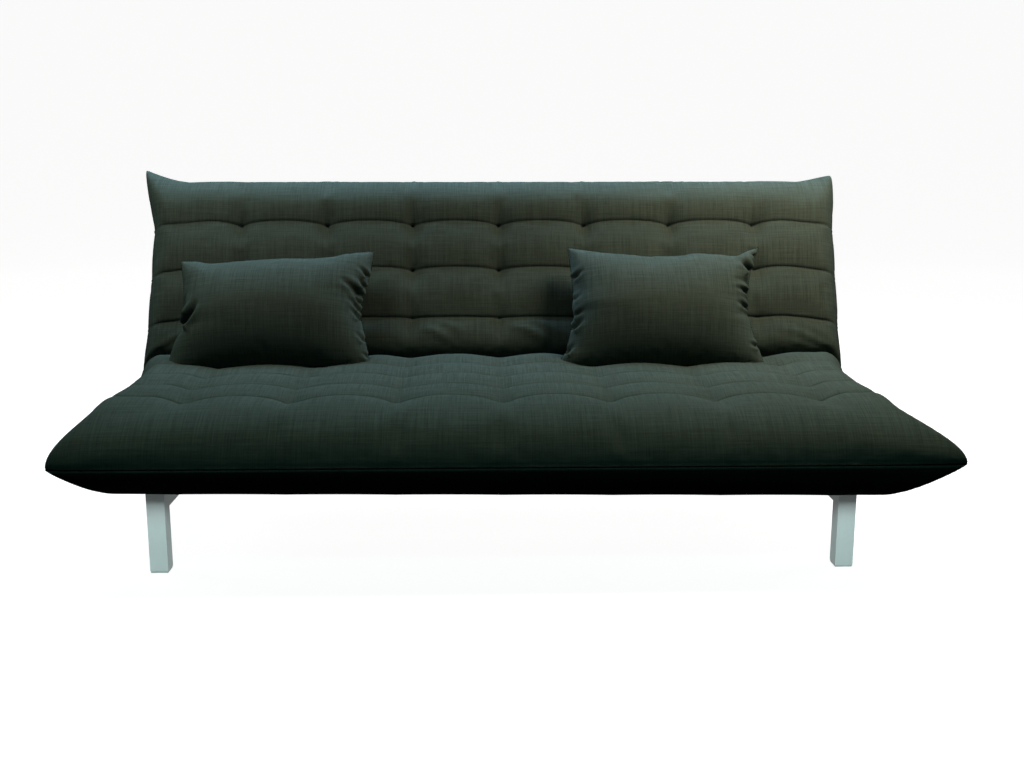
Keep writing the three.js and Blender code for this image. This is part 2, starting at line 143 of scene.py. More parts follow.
# ---- Shared by the cloths ---------------------------------------------------------------------------------------
PUFF_PRESSURE = 3.0
PUFF_FRAMES = 20
PUFF_SLACK = (0.004, 0.030)  # how much larger than its mesh a cloth is cut, and how much where it hangs loose
QUAD_CORNERS = ((0, -1, 0, -1), (1, None, 0, -1), (1, None, 1, None), (0, -1, 1, None))  # grid slices of a quad
STITCH_SIDES = 6
CORD_SIDES = 8

FLOOR_GAP = 0.0004  # the floor lies just under the feet


# ---- Materials --------------------------------------------------------------------------------------------------
class Nodes:
    """A short way to write a material's node tree."""

    def __init__(self, name):
        self.material = bpy.data.materials.new(name)
        self.material.use_nodes = True
        self.tree = self.material.node_tree
        self.shader = self.tree.nodes["Principled BSDF"]

    def add(self, kind, inputs=None, **settings):
        node = self.tree.nodes.new(kind)
        for key, value in settings.items():
            setattr(node, key, value)
        for key, value in (inputs or {}).items():
            self.put(node.inputs[key], value)
        return node

    def put(self, socket, value):
        if isinstance(value, bpy.types.NodeSocket):
            self.tree.links.new(value, socket)
        else:
            socket.default_value = value

    def set(self, **values):
        for key, value in values.items():
            self.put(self.shader.inputs[key.replace("_", " ")], value)
        return self

    def coords(self, kind="Object", scale=(1, 1, 1), rotation=(0, 0, 0)):
        source = self.add("ShaderNodeTexCoord").outputs[kind]
        inputs = {"Vector": source, "Scale": scale, "Rotation": rotation}
        return self.add("ShaderNodeMapping", inputs).outputs[0]

    def noise(self, vector, scale, detail=2.0, roughness=0.5):
        inputs = {"Vector": vector, "Scale": scale, "Detail": detail, "Roughness": roughness}
        return self.add("ShaderNodeTexNoise", inputs).outputs[0]

    def math(self, operation, a, b=0.0):
        return self.add("ShaderNodeMath", {0: a, 1: b}, operation=operation).outputs[0]

    def remap(self, value, low, high, to_low=0.0, to_high=1.0):
        inputs = {"Value": value, "From Min": low, "From Max": high, "To Min": to_low, "To Max": to_high}
        return self.add("ShaderNodeMapRange", inputs).outputs[0]

    def mix(self, factor, a, b, blend="MIX"):
        node = self.add("ShaderNodeMix", data_type="RGBA", blend_type=blend)
        for index, value in ((0, factor), (6, a), (7, b)):
            self.put(node.inputs[index], value)
        return node.outputs[2]

    def bump(self, height, strength, distance, normal=None):
        inputs = {"Height": height, "Strength": strength, "Distance": distance}
        if normal is not None:
            inputs["Normal"] = normal
        return self.add("ShaderNodeBump", inputs).outputs[0]


def linen(name, dark, light, warm):
    """A slubby plain weave, laid out by the cloth's own UVs in metres: U across, V along."""
    n = Nodes(name)
    flat = n.coords("UV")
    warp = n.noise(n.coords("UV", (1500, 45, 1)), 1.0, 2.0, 0.6)  # slubs along V
    weft = n.noise(n.coords("UV", (38, 1500, 1)), 1.0, 2.0, 0.6)  # slubs along U
    broad_warp = n.noise(n.coords("UV", (330, 9, 1)), 1.0, 2.0, 0.55)
    broad_weft = n.noise(n.coords("UV", (8, 360, 1)), 1.0, 2.0, 0.55)
    cloud = n.noise(flat, 3.2, 3.0, 0.5)
    slubs = n.math("ADD", n.math("MULTIPLY", warp, 0.5), n.math("MULTIPLY", weft, 0.5))
    broad = n.math("ADD", n.math("MULTIPLY", broad_warp, 0.55), n.math("MULTIPLY", broad_weft, 0.45))
    tone = n.math("ADD", n.math("MULTIPLY", slubs, 0.45), n.math("MULTIPLY", broad, 0.55))
    tone = n.math("ADD", tone, n.math("MULTIPLY", n.math("SUBTRACT", cloud, 0.5), 0.10))
    base = n.mix(n.remap(tone, 0.39, 0.61), dark, light)
    mottle = n.noise(n.coords("UV", (34, 15, 1)), 1.0, 3.0, 0.6)
    base = n.mix(n.remap(mottle, 0.56, 0.74, 0.0, 0.22), base, warm)
    threads = {"Vector": n.coords("UV", (1, 1, 1)), "Scale": 350.0, "Distortion": 1.2, "Detail": 1.0}
    across = n.add("ShaderNodeTexWave", threads, bands_direction="X", wave_profile="SIN").outputs[1]
    along = n.add("ShaderNodeTexWave", threads, bands_direction="Y", wave_profile="SIN").outputs[1]
    weave = n.math("MAXIMUM", across, along)
    relief = n.bump(slubs, 0.55, 0.0012)
    relief = n.bump(weave, 0.35, 0.0005, relief)
    n.set(Base_Color=base, Roughness=0.92, Normal=relief)
    n.set(Sheen_Weight=0.003, Sheen_Roughness=0.5, Sheen_Tint=(0.75, 0.95, 0.95, 1), Specular_IOR_Level=0.0)
    return n.material


def painted(name, colour, roughness=0.42, texture=0.08):
    """Powder coat: orange peel, and a faint change of gloss."""
    n = Nodes(name)
    place = n.coords()
    peel = n.noise(place, 900.0, 2.0)
    patches = n.noise(place, 14.0, 3.0)
    darker = tuple(0.90 * c for c in colour[:3]) + (1,)
    n.set(Base_Color=n.mix(n.remap(patches, 0.35, 0.65), darker, colour))
    n.set(Roughness=n.remap(patches, 0.3, 0.7, roughness - 0.06, roughness + 0.06))
    n.set(Normal=n.bump(peel, texture, 0.0004), Coat_Weight=0.15, Coat_Roughness=0.25)
    return n.material


def metallic_paint(name, colour):
    """Silver lacquer: a dense glitter of flakes under a smooth satin coat."""
    n = Nodes(name)
    place = n.coords()
    flakes = n.add("ShaderNodeTexVoronoi", {"Vector": place, "Scale": 2600.0}).outputs[1]
    glitter = n.remap(n.add("ShaderNodeSeparateColor", {0: flakes}).outputs[0], 0.0, 1.0, 0.93, 1.07)
    patches = n.noise(place, 9.0, 3.0)
    darker = tuple(0.94 * c for c in colour[:3]) + (1,)
    sparkle = n.add("ShaderNodeCombineColor", {0: glitter, 1: glitter, 2: glitter}).outputs[0]
    base = n.mix(1.0, n.mix(n.remap(patches, 0.35, 0.65), darker, colour), sparkle, "MULTIPLY")
    n.set(Base_Color=base, Metallic=0.12, Roughness=n.remap(patches, 0.3, 0.7, 0.50, 0.58), Specular_IOR_Level=0.1)
    n.set(Normal=n.bump(n.noise(place, 700.0, 2.0), 0.06, 0.0004), Coat_Weight=0.03, Coat_Roughness=0.3)
    return n.material


def beech(name, tilt=0.0):
    """Lacquered beech: straight grain along the slat, and short dark flecks."""
    n = Nodes(name)
    along = n.coords("Object", (1, 1, 1), (-tilt, 0, 0))
    grain_place = n.add("ShaderNodeMapping", {"Vector": along, "Scale": (90, 3.0, 90)}).outputs[0]
    fleck_place = n.add("ShaderNodeMapping", {"Vector": along, "Scale": (700, 45, 700)}).outputs[0]
    grain = n.noise(grain_place, 1.0, 4.0, 0.6)
    flecks = n.noise(fleck_place, 1.0, 2.0, 0.5)
    base = n.mix(n.remap(grain, 0.35, 0.7), (0.62, 0.41, 0.22, 1), (0.74, 0.54, 0.32, 1))
    base = n.mix(n.remap(flecks, 0.60, 0.74, 0.0, 0.55), base, (0.36, 0.20, 0.10, 1))
    n.set(Base_Color=base, Roughness=0.38, Normal=n.bump(grain, 0.10, 0.0005))
    n.set(Coat_Weight=0.25, Coat_Roughness=0.2)
    return n.material


def zinc(name):
    """Zinc plate: cloudy bright metal with a fine drawn texture."""
    n = Nodes(name)
    place = n.coords()
    clouds = n.noise(place, 60.0, 4.0, 0.6)
    drawn = n.noise(n.coords("Object", (900, 40, 900)), 1.0, 2.0)
    n.set(Base_Color=n.mix(clouds, (0.50, 0.51, 0.50, 1), (0.68, 0.68, 0.66, 1)), Metallic=1.0)
    n.set(Roughness=n.remap(clouds, 0.3, 0.7, 0.24, 0.42), Normal=n.bump(drawn, 0.12, 0.0003))
    return n.material


def moulded(name, colour, roughness, specular=0.5):
    """Moulded plastic or rubber with a fine spark texture."""
    n = Nodes(name)
    place = n.coords()
    grain = n.noise(place, 1600.0, 2.0)
    dust = n.noise(place, 25.0, 3.0)
    lighter = tuple(1.35 * c for c in colour[:3]) + (1,)
    n.set(Base_Color=n.mix(n.remap(dust, 0.4, 0.7), colour, lighter), Roughness=roughness)
    n.set(Normal=n.bump(grain, 0.25, 0.0003), Specular_IOR_Level=specular)
    return n.material


MATTRESS_LINEN = linen(
    "mattress_linen",
    dark=(0.0305, 0.0425, 0.034, 1),
    light=(0.059, 0.080, 0.065, 1),
    warm=(0.060, 0.060, 0.045, 1),
)
CUSHION_LINEN = linen(
    "cushion_linen",
    dark=(0.0305, 0.043, 0.035, 1),
    light=(0.059, 0.081, 0.068, 1),
    warm=(0.059, 0.060, 0.046, 1),
)
THREAD = moulded("thread", (0.008, 0.010, 0.008, 1), 0.9, 0.0)
SEAM_THREAD = moulded("seam_thread", (0.060, 0.085, 0.078, 1), 0.9, 0.0)
LEG_PAINT = metallic_paint("leg_paint", (0.52, 0.60, 0.59, 1))
FRAME_PAINT = painted("frame_paint", (0.022, 0.023, 0.024, 1), 0.45, 0.2)
SEAT_BEECH = beech("seat_beech")
BACK_BEECH = beech("back_beech", FOLD)
ZINC = zinc("zinc")
PALE_PLASTIC = moulded("pale_plastic", (0.42, 0.48, 0.47, 1), 0.5)
RUBBER = moulded("rubber", (0.012, 0.012, 0.012, 1), 0.8)


# ---- Mesh helpers -----------------------------------------------------------------------------------------------
def new_object(name, points, faces, material):
    mesh = bpy.data.meshes.new(name)
    mesh.from_pydata([tuple(p) for p in points], [], [tuple(f) for f in faces])
    mesh.materials.append(material)
    mesh.update()
    mesh.shade_smooth()
    obj = bpy.data.objects.new(name, mesh)
    bpy.context.scene.collection.objects.link(obj)
    return obj


def points_of(obj):
    co = np.zeros(len(obj.data.vertices) * 3, np.float32)
    obj.data.vertices.foreach_get("co", co)
    return co.reshape(-1, 3).astype(float)


def set_points(obj, points):
    obj.data.vertices.foreach_set("co", np.asarray(points, np.float32).ravel())
    obj.data.update()


def smooth_step(t):
    t = np.clip(t, 0, 1)
    return t * t * (3 - 2 * t)


def steps(knots, counts):
    """Points from the first knot to the last, with so many steps between each pair."""
    parts = [np.linspace(a, b, n, endpoint=False) for a, b, n in zip(knots, knots[1:], counts)]
    return np.append(np.concatenate(parts), knots[-1])


def through(x, knots, values):
    """A smooth curve through the knots that doesn't overshoot between them."""
    width = np.diff(knots)
    slope = np.diff(values) / width
    tangent = np.zeros(len(knots))
    for i in range(1, len(knots) - 1):
        if slope[i - 1] * slope[i] > 0:
            before, after = width[i - 1], width[i]
            w1, w2 = 2 * after + before, after + 2 * before
            tangent[i] = (w1 + w2) / (w1 / slope[i - 1] + w2 / slope[i])
    tangent[0], tangent[-1] = slope[0], slope[-1]
    k = np.clip(np.searchsorted(knots, x) - 1, 0, len(knots) - 2)
    t = (x - knots[k]) / width[k]
    start = (1 + 2 * t) * (1 - t) ** 2 * values[k] + t * (1 - t) ** 2 * width[k] * tangent[k]
    end = t * t * (3 - 2 * t) * values[k + 1] + t * t * (t - 1) * width[k] * tangent[k + 1]
    return start + end


def rounded(t, power):
    """A stuffed form's thickness near its seam, from 0 at the seam to 1."""
    return np.sin(np.clip(t, 0, 1) * math.pi / 2) ** power


def lesser(a, b):
    """A smooth lesser of two shares, which leaves a corner fuller than their product does."""
    least = 1e-6
    return (np.maximum(a, least) ** -3.0 + np.maximum(b, least) ** -3.0 - 1) ** (-1 / 3)


# ---- The mattress -------------------------------------------------------------------------------------------------
def mattress_grid():
    """The plan of one sheet of the mattress, laid flat: x, and the distance s from the front seam."""
    xs = steps([-HALF, *COLUMNS, HALF], [28] + [24] * 6 + [28])
    outside = np.abs(xs) > COLUMNS[-1]
    t = (np.abs(xs[outside]) - COLUMNS[-1]) / (HALF - COLUMNS[-1])
    xs[outside] = np.sign(xs[outside]) * (COLUMNS[-1] + (HALF - COLUMNS[-1]) * np.sin(t * math.pi / 2))
    knots, counts = [0.0], []
    panel_steps = [18] + [12] * 4 + [10] * 2 + [12] * 3 + [14]
    for row, count in zip(ROWS, panel_steps):
        knots += [row - 2 * GROOVE, row - GROOVE, row - GROOVE / 2, row]
        knots += [row + GROOVE / 2, row + GROOVE, row + 2 * GROOVE]
        counts += [count, 1, 1, 1, 1, 1, 1]
    knots.append(LENGTH)
    counts.append(panel_steps[-1])
    ss = steps(knots, counts)
    depth = ROWS[0] - 2 * GROOVE
    front = ss < depth
    ss[front] = depth * (1 - np.cos(ss[front] / depth * math.pi / 2))
    start = ROWS[-1] + 2 * GROOVE
    back = ss > start
    ss[back] = start + (LENGTH - start) * np.sin((ss[back] - start) / (LENGTH - start) * math.pi / 2)
    return np.meshgrid(xs, ss, indexing="ij")


def arches(x):
    """0 at each column of tufts and 1 halfway between them, with a point at each tuft."""
    past = np.clip((np.abs(x) - COLUMNS[-1]) / 0.10, 0, 1)
    between = np.abs(np.sin(math.pi * x / COLUMN_PITCH)) ** 0.85
    return np.where(np.abs(x) < COLUMNS[-1], between, np.sin(past * math.pi / 2))


def stroke(x, s, at, to, width):
    """A soft ridge 1 high from one point to another, which fades out at both ends."""
    start, along = np.array(at), np.array(to) - np.array(at)
    length = np.hypot(*along)
    along = along / length
    t = ((x - start[0]) * along[0] + (s - start[1]) * along[1]) / length
    bend = 0.10 * length * np.sin(math.pi * np.clip(t, 0, 1))
    off = (x - start[0]) * -along[1] + (s - start[1]) * along[0] - bend
    return np.exp(-((off / width) ** 2)) * smooth_step(t / 0.45) * smooth_step((1 - t) / 0.45)


def creases(x, s):
    """The height of the loose folds: slanting ones low on the back, and bunched ones at the crease's ends."""
    height = np.zeros_like(x)
    for at, to, width, rise in CREASES:
        height += rise * stroke(x, s, at, to, width)
    edge = np.clip((np.abs(x) - 0.76) / 0.22, 0, 1)
    sweep = s + 0.075 * edge**2
    window = smooth_step((s - 0.93) / 0.04) * smooth_step((1.10 - sweep) / 0.04)
    waves = np.sin(2 * math.pi * sweep / BUNCH_WAVE + 1.3 * np.sin(9 * x))
    waves = waves + 0.4 * np.sin(2 * math.pi * sweep / BUNCH_RIPPLE)
    return height + BUNCH_HEIGHT * waves * edge**0.8 * window


def outlined(x0, s0):
    """The plan drawn to the outline: x, s, and how far each point is from the side seams."""
    side = np.where(x0 < 0, -1, 1)
    half = np.where(x0 < 0, through(s0, OUTLINE_AT, OUTLINE[-1]), through(s0, OUTLINE_AT, OUTLINE[1]))
    beyond = smooth_step((np.abs(x0) - COLUMNS[-1]) / (HALF - COLUMNS[-1]))
    x = x0 + side * beyond * (half - HALF)
    ear = np.where(x0 < 0, EARS[-1], EARS[1])
    corner = np.clip((np.abs(x0) - EAR_FROM_X) / (HALF - EAR_FROM_X), 0, 1) ** 1.7
    s = s0 + ear * corner * smooth_step((s0 - EAR_FROM_S) / (LENGTH - EAR_FROM_S))
    from_side = np.maximum(half - np.abs(x), 0)
    tip = BLUNT * np.exp(-((HALF - np.abs(x0)) + s0) / 0.025)
    ear_tip = EAR_BLUNT * np.exp(-((HALF - np.abs(x0)) + LENGTH - s0) / 0.045)
    return x - side * (tip + ear_tip), s + tip - ear_tip, from_side


def quilting(x0, s0):
    """How far the seams, the tufts and the swags between them lie below the puffed top."""
    gap = np.abs(s0[..., None] - ROWS).min(-1)
    column = np.abs(x0[..., None] - COLUMNS).min(-1)
    on_seat = smooth_step((FOLD_ROW - s0) / 0.08)
    channel = CHANNEL_DEPTH * np.exp(-gap / CHANNEL_REACH) + STITCH_DEPTH * np.exp(-((gap / STITCH_REACH) ** 2))
    pinch = TUFT_DEPTH + TUFT_DEEPER * smooth_step((s0 - 1.12) / 0.15)
    tuft = pinch * np.exp(-np.hypot(gap / TUFT_REACH[0], column / TUFT_REACH[1]))
    swag = SWAG_DEPTH * on_seat * (1 - arches(x0)) * np.exp(-((gap / SWAG_REACH) ** 2))
    return channel + tuft + swag


def seam_drift(x0, s0):
    """How far the seams arch between the tufts, less how far they fall towards the back's sides."""
    bow = arches(x0) * np.interp(s0, *BOWS)
    past = np.clip((np.abs(x0) - COLUMNS[-1] - 0.06) / 0.21, 0, 1)
    fall = SIDE_FALL * past**1.6 * smooth_step((s0 - FOLD_ROW - 0.02) / 0.1)
    return (bow - fall) * smooth_step(s0 / 0.1) * smooth_step((LENGTH - s0) / 0.1)


def mattress_sheets(x0, s0):
    """The outlined plan, and the heights of the top and bottom sheets above the hinge line, laid flat."""
    x, s, from_side = outlined(x0, s0)
    ends = lesser(rounded(s0 / FRONT_ROUND, ROUND_POWER), rounded((LENGTH - s0) / TOP_ROUND, ROUND_POWER))
    share = lesser(rounded(from_side / SIDE_ROUND, ROUND_POWER), ends)
    low_share = lesser(rounded(from_side / LOW_SIDE_ROUND, LOW_POWER), ends)
    rim = FRONT_RIM + (RIM - FRONT_RIM) * smooth_step(s0 / 0.35)
    top = rim + (CROWN - rim) * share - quilting(x0, s0) * smooth_step(from_side / 0.07)
    for place in CUSHION_PLACES:
        across = smooth_step((DENT_HALF - np.abs(x0 - place)) / 0.12)
        top -= DENT * across * smooth_step(1 - np.abs(s0 - DENT_AT) / DENT_LENGTH)
    droop = (DROOP + DROOP_TILT * x0) * np.sin(math.pi * np.clip((s0 + 0.03) / 0.17, 0, 1))
    low = SLAT_TOP + 0.001 - droop
    bottom = rim - (rim - low) * low_share
    return x, s + seam_drift(x0, s0), top, bottom


def past_crease(y, z):
    """How far a point at y and z from the hinge line lies behind the plane that splits the fold."""
    return y * CREASE_NORMAL[0] + z * CREASE_NORMAL[1]


def folded(s, height):
    """Where a point of the flat mattress lies in the sofa position: y and z.
"""
    y0 = s - HINGE_AT
    low, high = np.zeros_like(y0), np.ones_like(y0)
    for _ in range(40):
        share = (low + high) / 2
        turn = share * FOLD
        y = y0 * np.cos(turn) - height * np.sin(turn)
        z = y0 * np.sin(turn) + height * np.cos(turn)
        weight = smooth_step((past_crease(y, z) + CREASE_BAND) / (2 * CREASE_BAND))
        low, high = np.where(weight > share, share, low), np.where(weight > share, high, share)
    return HINGE.y + y, HINGE.z + z


def closed_cloth(name, upper, lower, plan, material):
    """Two sheets of points joined at their shared rim, with the flat plan in metres as UVs."""
    columns, rows = plan.shape[:2]
    index = np.arange(columns * rows).reshape(columns, rows)
    below = index.copy()
    inner = np.zeros((columns, rows), bool)
    inner[1:-1, 1:-1] = True
    below[inner] = columns * rows + np.arange(inner.sum())
    points = np.concatenate([upper.reshape(-1, 3), lower[inner]])
    a, b, c, d = (index[i0:i1, j0:j1].ravel() for i0, i1, j0, j1 in QUAD_CORNERS)
    faces = [np.stack([a, b, c, d], 1)]
    a, b, c, d = (below[i0:i1, j0:j1].ravel() for i0, i1, j0, j1 in QUAD_CORNERS)
    faces.append(np.stack([a, d, c, b], 1))
    obj = new_object(name, points, np.concatenate(faces), material)
    flat = np.concatenate([plan.reshape(-1, 2), plan[inner]])
    uv = obj.data.uv_layers.new(name="cloth")
    loops = np.zeros(len(obj.data.loops), np.int32)
    obj.data.loops.foreach_get("vertex_index", loops)
    uv.data.foreach_set("uv", flat[loops].astype(np.float32).ravel())
    return obj


def make_mattress(plan):
    x, s, top, bottom = mattress_sheets(*plan)
    tuck = np.zeros((2,) + x.shape)
    tuck[0, 0], tuck[0, -1] = SEAM_TUCK, -SEAM_TUCK
    tuck[1, :, 0], tuck[1, :, -1] = SEAM_TUCK, -SEAM_TUCK
    x, s = x + tuck[0], s + tuck[1]
    upper = np.stack([x, *folded(s, top)], -1)
    lower = np.stack([x, *folded(s, bottom)], -1)
    return closed_cloth("quilted_mattress", upper, lower, np.stack([x, s], -1), MATTRESS_LINEN), upper


def stitches(name, lines, material, length=0.0048, pitch=0.0066, radius=0.0008):
    """Rows of sewing stitches along lines of points, as small lozenges that dip into the cloth at both ends."""
    points, faces = [], []
    turns = np.linspace(0, 2 * math.pi, STITCH_SIDES, endpoint=False)
    for line, lift in lines:
        travel = np.append(0, np.cumsum(np.linalg.norm(np.diff(line, axis=0), axis=1)))
        for start in np.arange(0, travel[-1] - length, pitch):
            at = start + length * np.array([0, 0.18, 0.82, 1])
            centre = np.stack([np.interp(at, travel, line[:, k]) for k in range(3)], 1)
            along = centre[3] - centre[0]
            along /= max(np.linalg.norm(along), 1e-9)
            up = np.array(lift) - along * np.dot(lift, along)
            up /= max(np.linalg.norm(up), 1e-9)
            across = np.cross(along, up)
            base = len(points)
            for c, r, raise_by in zip(centre, (0.35, 1, 1, 0.35), (0, 1, 1, 0)):
                ring = np.cos(turns)[:, None] * across + np.sin(turns)[:, None] * up
                points += list(c + radius * (r * ring + 0.7 * raise_by * up))
            for k in range(3):
                for i in range(STITCH_SIDES):
                    j = (i + 1) % STITCH_SIDES
                    corners = (i, j, STITCH_SIDES + j, STITCH_SIDES + i)
                    faces.append([base + STITCH_SIDES * k + corner for corner in corners])
            faces.append([base + i for i in range(STITCH_SIDES)][::-1])
            faces.append([base + 3 * STITCH_SIDES + i for i in range(STITCH_SIDES)])
    return new_object(name, points, faces, material)


def loop_cord(name, path, radius, material):
    """A closed cord along a loop of points."""
    along = np.roll(path, -1, axis=0) - np.roll(path, 1, axis=0)
    along /= np.maximum(np.linalg.norm(along, axis=1, keepdims=True), 1e-9)
    across = np.cross(along, (0.31, 0.27, 0.91))
    across /= np.maximum(np.linalg.norm(across, axis=1, keepdims=True), 1e-9)
    up = np.cross(across, along)
    turns = np.linspace(0, 2 * math.pi, CORD_SIDES, endpoint=False)
    rings = [path + radius * (math.cos(t) * across + math.sin(t) * up) for t in turns]
    points = np.stack(rings, 1).reshape(-1, 3)
    faces = []
    for i in range(len(path)):
        a, b = CORD_SIDES * i, CORD_SIDES * ((i + 1) % len(path))
        for k in range(CORD_SIDES):
            after = (k + 1) % CORD_SIDES
            faces.append((a + k, a + after, b + after, b + k))
    return new_object(name, points, faces, material)


def weight_group(obj, name, weights):
    group = obj.vertex_groups.new(name=name)
    for i in np.nonzero(weights)[0]:
        group.add([int(i)], float(weights[i]), "REPLACE")


def press(obj, rise):
    """Moves the mesh's first points along their normals, each by its own rise."""
    normals = np.zeros(len(obj.data.vertices) * 3, np.float32)
    obj.data.vertex_normals.foreach_get("vector", normals)
    points = points_of(obj)
    points[: len(rise)] += normals.reshape(-1, 3)[: len(rise)] * rise[:, None]
    set_points(obj, points)


def inflate(obj, held, cap, loose):
    """Puffs a cloth out by simulation, with its held points staying put and no point moving further than cap."""
    start = points_of(obj)
    weight_group(obj, "held", held)
    weight_group(obj, "loose", loose)
    cloth = obj.modifiers.new("cloth", "CLOTH")
    settings = cloth.settings
    settings.quality = 4
    settings.mass = 0.3
    settings.tension_stiffness = settings.compression_stiffness = 12
    settings.shear_stiffness = 6
    settings.bending_stiffness = 0.4
    settings.tension_damping = settings.compression_damping = settings.shear_damping = 8
    settings.air_damping = 2
    settings.vertex_group_mass = "held"
    settings.vertex_group_shrink = "loose"
    settings.shrink_min, settings.shrink_max = (-slack for slack in PUFF_SLACK)
    settings.use_pressure = True
    settings.uniform_pressure_force = PUFF_PRESSURE
    settings.effector_weights.gravity = 0
    cloth.collision_settings.use_collision = False
    scene = bpy.context.scene
    cloth.point_cache.frame_start, cloth.point_cache.frame_end = 1, PUFF_FRAMES
    for number in range(1, PUFF_FRAMES + 1):
        scene.frame_set(number)
    puffed = obj.evaluated_get(bpy.context.evaluated_depsgraph_get())
    move = points_of(puffed) - start
    length = np.linalg.norm(move, axis=1, keepdims=True)
    move *= np.tanh(length / cap) * cap / np.maximum(length, 1e-9)
    obj.modifiers.remove(cloth)
    obj.vertex_groups.clear()
    scene.frame_set(1)
    set_points(obj, start + move)


plan = mattress_grid()
mattress, upper_points = make_mattress(plan)
upper_count = plan[0].size
plan_x, plan_s = (grid.ravel() for grid in plan)
held = np.ones(len(mattress.data.vertices))
seam_gap = np.abs(plan_s[:, None] - ROWS).min(1)
free = (seam_gap > 1.5 * GROOVE) & (np.abs(plan_s - FOLD_ROW) > 0.10)
free &= (np.abs(plan_x) < HALF - 1e-4) & (plan_s > 1e-4) & (plan_s < LENGTH - 1e-4)
held[:upper_count][free] = 0
loose = np.zeros(len(held))
loose[:upper_count] = smooth_step(1 - np.abs(plan_s - LOOSE_AT) / LOOSE_REACH)
inflate(mattress, held, MATTRESS_PUFF, loose)
# A fold pressed into the bending band would tear open when the back lies flat, so the folds fade out there.
from_hinge = points_of(mattress)[:upper_count, 1:] - (HINGE.y, HINGE.z)
clear = np.abs(past_crease(*from_hinge.T)) / CREASE_BAND
fading = smooth_step((HALF - np.abs(plan_x)) / 0.02) * smooth_step((clear - 0.6) / 1.4)
press(mattress, creases(plan_x, plan_s) * fading)
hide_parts("seat_mattress", "back_mattress")
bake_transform(mattress)

row_index = [int(np.abs(plan[1][0] - row).argmin()) for row in ROWS]
seat_up, back_up = (0, 0, 1), (0, -math.sin(FOLD), math.cos(FOLD))
seam_lines = [(upper_points[:, j], seat_up if row < FOLD_ROW else back_up) for row, j in zip(ROWS, row_index)]
rim_sides = [  # the front, right, top and left seams, and which way each faces
    (upper_points[:, 0], (0, -1, 0)),
    (upper_points[-1, 1:], (1, 0, 0)),
    (upper_points[-2::-1, -1], (0, -math.cos(FOLD), -math.sin(FOLD))),
    (upper_points[0, -2:0:-1], (-1, 0, 0)),
]
rim_path = np.concatenate([line for line, _ in rim_sides])
rim_normal = np.concatenate([np.tile(facing, (len(line), 1)) for line, facing in rim_sides])
quilting = stitches("quilting_stitches", seam_lines, SEAM_THREAD)
rim_cord = loop_cord("rim_cord", rim_path + CORD_OUT * rim_normal, CORD_RADIUS, THREAD)
for sewn in (quilting, rim_cord):
    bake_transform(sewn)


# ---- Cushions ---------------------------------------------------------------------------------------------------
def over(height, floor, softness=0.006):
    """Heights kept above a floor, with a soft turn onto it."""
    rise = height - floor
    turn = softness * np.log1p(np.exp(np.minimum(rise, 0.1) / softness))
    return floor + np.where(rise > 4 * softness, rise, turn)


def rested(points):
    """Cushion points kept out of the seat and the back of the mattress, which they press a little way into."""
    p = points - np.array(HINGE)
    p[..., 2] = over(p[..., 2], CROWN - SEAT_PRESS)
    above_back = np.cos(FOLD) * p[..., 2] - np.sin(FOLD) * p[..., 1]
    push = over(above_back, CROWN - BACK_PRESS) - above_back
    p[..., 1] -= np.sin(FOLD) * push
    p[..., 2] += np.cos(FOLD) * push
    return p + np.array(HINGE)


def gathered(plan, u, v, gathers):
    """The height of the puckers that run in from the short sides, as valleys between small swells.

    gathers: for each pucker its end (-1 left, 1 right), v at the seam, length, slant, half-width and depth."""
    height = np.zeros_like(u)
    for end, at, length, slant, width, depth in gathers:
        edge = np.array([np.interp(at, v[0], plan[0 if end < 0 else -1, :, k]) for k in (0, 1)])
        along = np.array((-end * math.cos(slant), math.sin(slant)))
        reach = (plan - edge) @ along / length
        off = (plan - edge) @ np.array((-along[1], along[0]))
        off = off - 0.12 * length * np.clip(reach, 0, 1) ** 2
        fade = smooth_step(reach / 0.10) * np.clip(1 - reach, 0, 1) ** 1.1
        valley = -np.exp(-((off / width) ** 2))
        above = np.exp(-(((off - 2 * width) / (1.2 * width)) ** 2))
        below = np.exp(-(((off + 2 * width) / (1.2 * width)) ** 2))
        height += depth * (valley + 0.45 * (above + below)) * fade
    return height


def cushion_plan(corners, edges):
    """u and v from -1 to 1 across and up a cushion, and where each point lies in its plan.

    corners: the plan places of the lower left, lower right, upper right and upper left corners.
    edges: for the left, right, lower and upper edges, places along it and how far it strays there."""
    u, v = np.meshgrid(np.linspace(-1, 1, CUSHION_CELLS[0]), np.linspace(-1, 1, CUSHION_CELLS[1]), indexing="ij")
    u, v = np.sin(u * math.pi / 2), 0.4 * v + 0.6 * np.sin(v * math.pi / 2)
    lower_left, lower_right, upper_right, upper_left = (np.array(c) for c in corners)
    across, upward = (u[..., None] + 1) / 2, (v[..., None] + 1) / 2
    plan = (lower_left * (1 - across) + lower_right * across) * (1 - upward)
    plan += (upper_left * (1 - across) + upper_right * across) * upward
    drawn = [through(along, *np.array(profile)) for along, profile in zip((v, v, u, u), edges)]
    plan[..., 0] += drawn[0] * (1 - u) / 2 + drawn[1] * (1 + u) / 2
    plan[..., 1] += drawn[2] * (1 - v) / 2 + drawn[3] * (1 + v) / 2
    return u, v, plan


